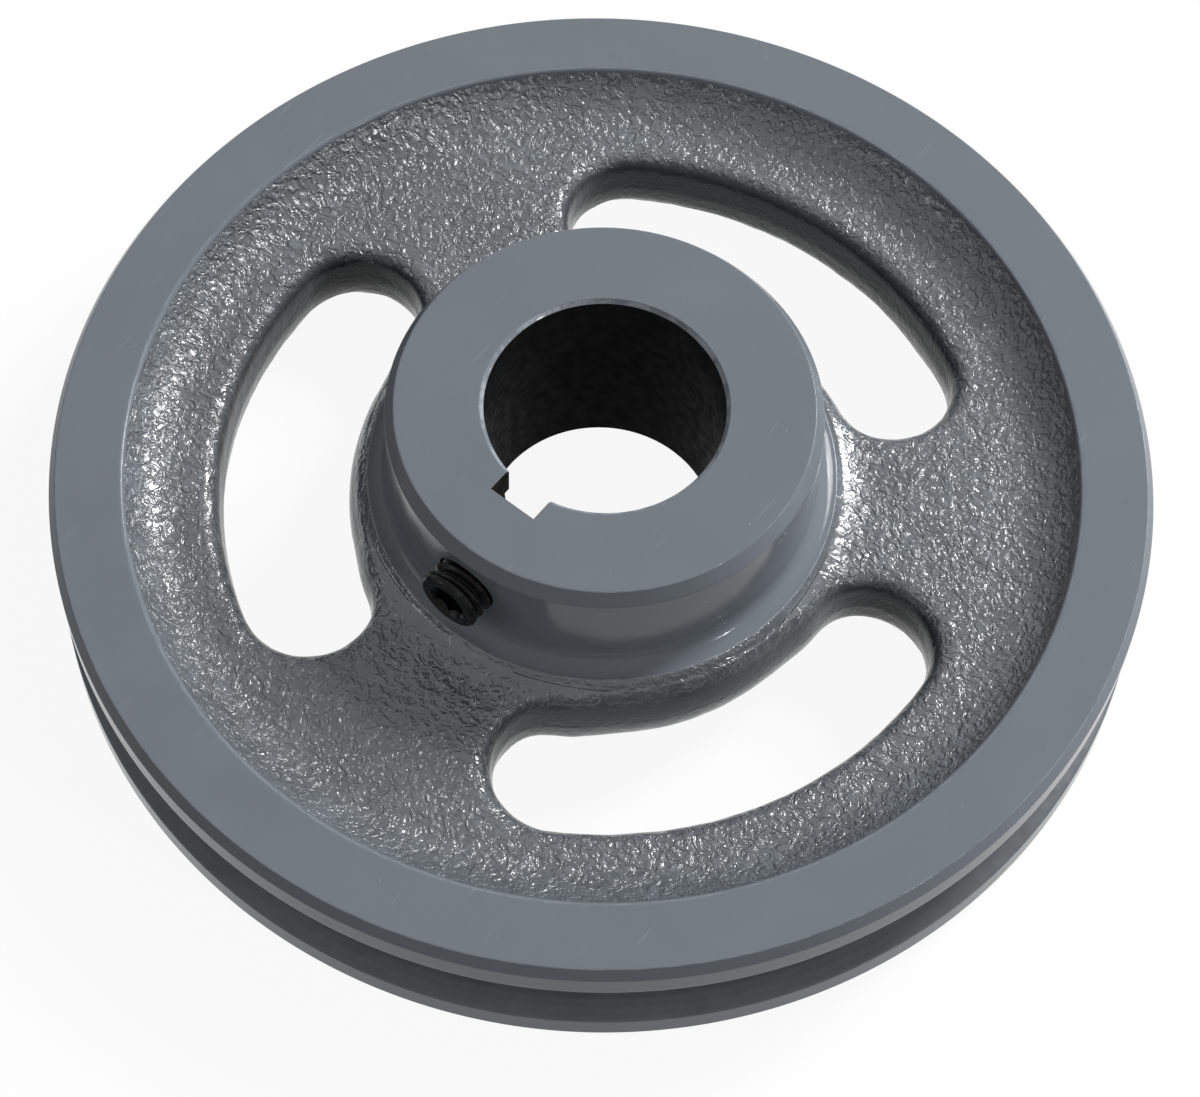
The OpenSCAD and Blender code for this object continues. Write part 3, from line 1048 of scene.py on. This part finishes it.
@dataclass
class Studio:
    """White floor and surroundings, soft lamps, and the camera at the photo's angle.

    Each lamp has its name, its direction in the frame of the camera fit, its distance,
    its width in metres and its power in watts.
    """

    unit: float = 66.675
    raise_mm: float = 19.05
    turn: float = math.radians(36.5)
    elevation: float = 1.0482811
    distance: float = 6.3
    focal_px: float = 3481.07486
    pan: float = -0.00026338
    tilt: float = 0.02585941
    roll: float = 0.04209611
    width_px: float = 1200.0
    sensor: float = 36.0
    floor_half: float = 1000.0
    floor_z: float = -0.2
    floor_bounce: float = 0.22
    floor_pale: float = 0.92
    floor_glow: float = 0.92
    world_light: float = 0.22
    lamp_height: float = 15.0 * MM
    lamps: tuple[tuple[str, Point3, float, float, float], ...] = field(
        default_factory=lambda: (
            ("soft_key", (0.58, 0.51, 0.63), 2.0, 0.60, 40.0),
            ("streak", (0.73, -0.55, 0.41), 0.9, 0.06, 1.9),
            ("sparkle", (0.72, 0.53, 0.45), 0.9, 0.12, 2.6),
            ("left_low", (-0.93, -0.22, 0.30), 0.9, 0.30, 0.7),
        ))

    def world_from_fit(self, vector: Sequence[float]) -> Vector:
        """Turn a direction from the camera fit's frame to the pulley's."""
        return Matrix.Rotation(self.turn, 3, "Z") @ Vector(vector)

    def camera(self) -> None:
        """Place the camera as the circles in the photo gave it."""
        back = Vector((0.0, -math.cos(self.elevation), math.sin(self.elevation)))
        fwd, right = -back, Vector((1.0, 0.0, 0.0))
        down = fwd.cross(right)
        view = Matrix((right, down, fwd))
        view = (Matrix.Rotation(self.roll, 3, "Z") @ Matrix.Rotation(self.pan, 3, "Y")
                @ Matrix.Rotation(self.tilt, 3, "X")) @ view
        axes = [self.world_from_fit(view[0]), self.world_from_fit(-view[1]), self.world_from_fit(-view[2])]
        place = self.world_from_fit(back * self.distance) * self.unit * MM
        place.z += self.raise_mm * MM
        data = bpy.data.cameras.new("camera")
        data.sensor_fit = "HORIZONTAL"
        data.sensor_width = self.sensor
        data.lens = self.focal_px / self.width_px * self.sensor
        data.clip_start, data.clip_end = 0.01, 20.0
        cam = bpy.data.objects.new("camera", data)
        cam.matrix_world = Matrix.Translation(place) @ Matrix(axes).transposed().to_4x4()
        bpy.context.scene.collection.objects.link(cam)
        bpy.context.scene.camera = cam

    def seen(self, sheet: NodeSheet) -> NodeSocket:
        """Return a factor that is 1 for camera, glossy and transmission rays and 0 for the rest."""
        path = sheet.add("ShaderNodeLightPath")
        most = sheet.math("MAXIMUM", path.outputs["Is Camera Ray"], path.outputs["Is Glossy Ray"])
        return sheet.math("MAXIMUM", most, path.outputs["Is Transmission Ray"])

    def floor(self) -> None:
        """Lay the floor under the pulley: white to the eye, dim as light on the pulley."""
        sheet = NodeSheet.material("floor_white")
        bounce = sheet.add("ShaderNodeBsdfDiffuse", {"Color": (self.floor_bounce,) * 3})
        pale = sheet.add("ShaderNodeBsdfDiffuse", {"Color": (self.floor_pale,) * 3})
        glow = sheet.add("ShaderNodeEmission", {"Color": WHITE, "Strength": 1.0})
        white = sheet.mix(self.floor_glow, pale, glow)
        sheet.close(sheet.mix(self.seen(sheet), bounce, white))
        bm = bmesh.new()
        bmesh.ops.create_grid(bm, x_segments=1, y_segments=1, size=self.floor_half)
        bmesh.ops.translate(bm, vec=(0.0, 0.0, self.floor_z), verts=bm.verts)
        finish_mesh(bm, "floor", [sheet.owner])

    def world(self) -> None:
        """Make the surroundings white to the eye and plain as light."""
        sheet = NodeSheet(bpy.data.worlds.new("surroundings"), "ShaderNodeOutputWorld")
        plain = sheet.add("ShaderNodeBackground", {"Color": WHITE, "Strength": self.world_light})
        white = sheet.add("ShaderNodeBackground", {"Color": WHITE, "Strength": 1.0})
        bpy.context.scene.world = sheet.close(sheet.mix(self.seen(sheet), plain, white))

    def light(self) -> None:
        """Hang the lamps round the pulley, each facing it."""
        for name, way, far, size, power in self.lamps:
            data = bpy.data.lights.new(name, "AREA")
            data.shape = "SQUARE"
            data.size = size
            data.energy = power
            lamp = bpy.data.objects.new(name, data)
            toward = self.world_from_fit(way).normalized()
            lamp.location = toward * far + Vector((0.0, 0.0, self.lamp_height))
            lamp.rotation_mode = "QUATERNION"
            lamp.rotation_quaternion = toward.to_track_quat("Z", "Y")
            bpy.context.scene.collection.objects.link(lamp)


def main() -> None:
    """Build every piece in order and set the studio."""
    logging.basicConfig(level=logging.INFO, format="%(message)s")
    cast = CastPaint()
    # The lip and wall copies of the cast paint differ only in a lower specular level, which darkens the
    # windows as painted shade.
    paints = [cast.make("cast_paint", 0.70), TurnedPaint().make(), GroovePaint().make(), BoreIron().make(),
              cast.make("cast_paint_lip_shaded", 0.36), cast.make("cast_paint_wall_shaded", 0.15)]
    pieces: list[tuple[Callable[[], Object], str, str]] = [
        (lambda: Casting().build(paints), "pulley", "painted_casting"),
        (lambda: SetScrew().build(BlackSteel().make()), "set_screw", "black_steel"),
    ]
    for make, node, slot in pieces:
        piece = make()
        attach(piece, node)
        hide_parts(node)
        LOG.info("%s: %d vertices, %d faces", piece.name, len(piece.data.vertices), len(piece.data.polygons))
    studio = Studio()
    studio.floor()
    studio.world()
    studio.light()
    studio.camera()
    bpy.context.scene.view_settings.view_transform = "Standard"


if __name__ == "__main__":
    main()
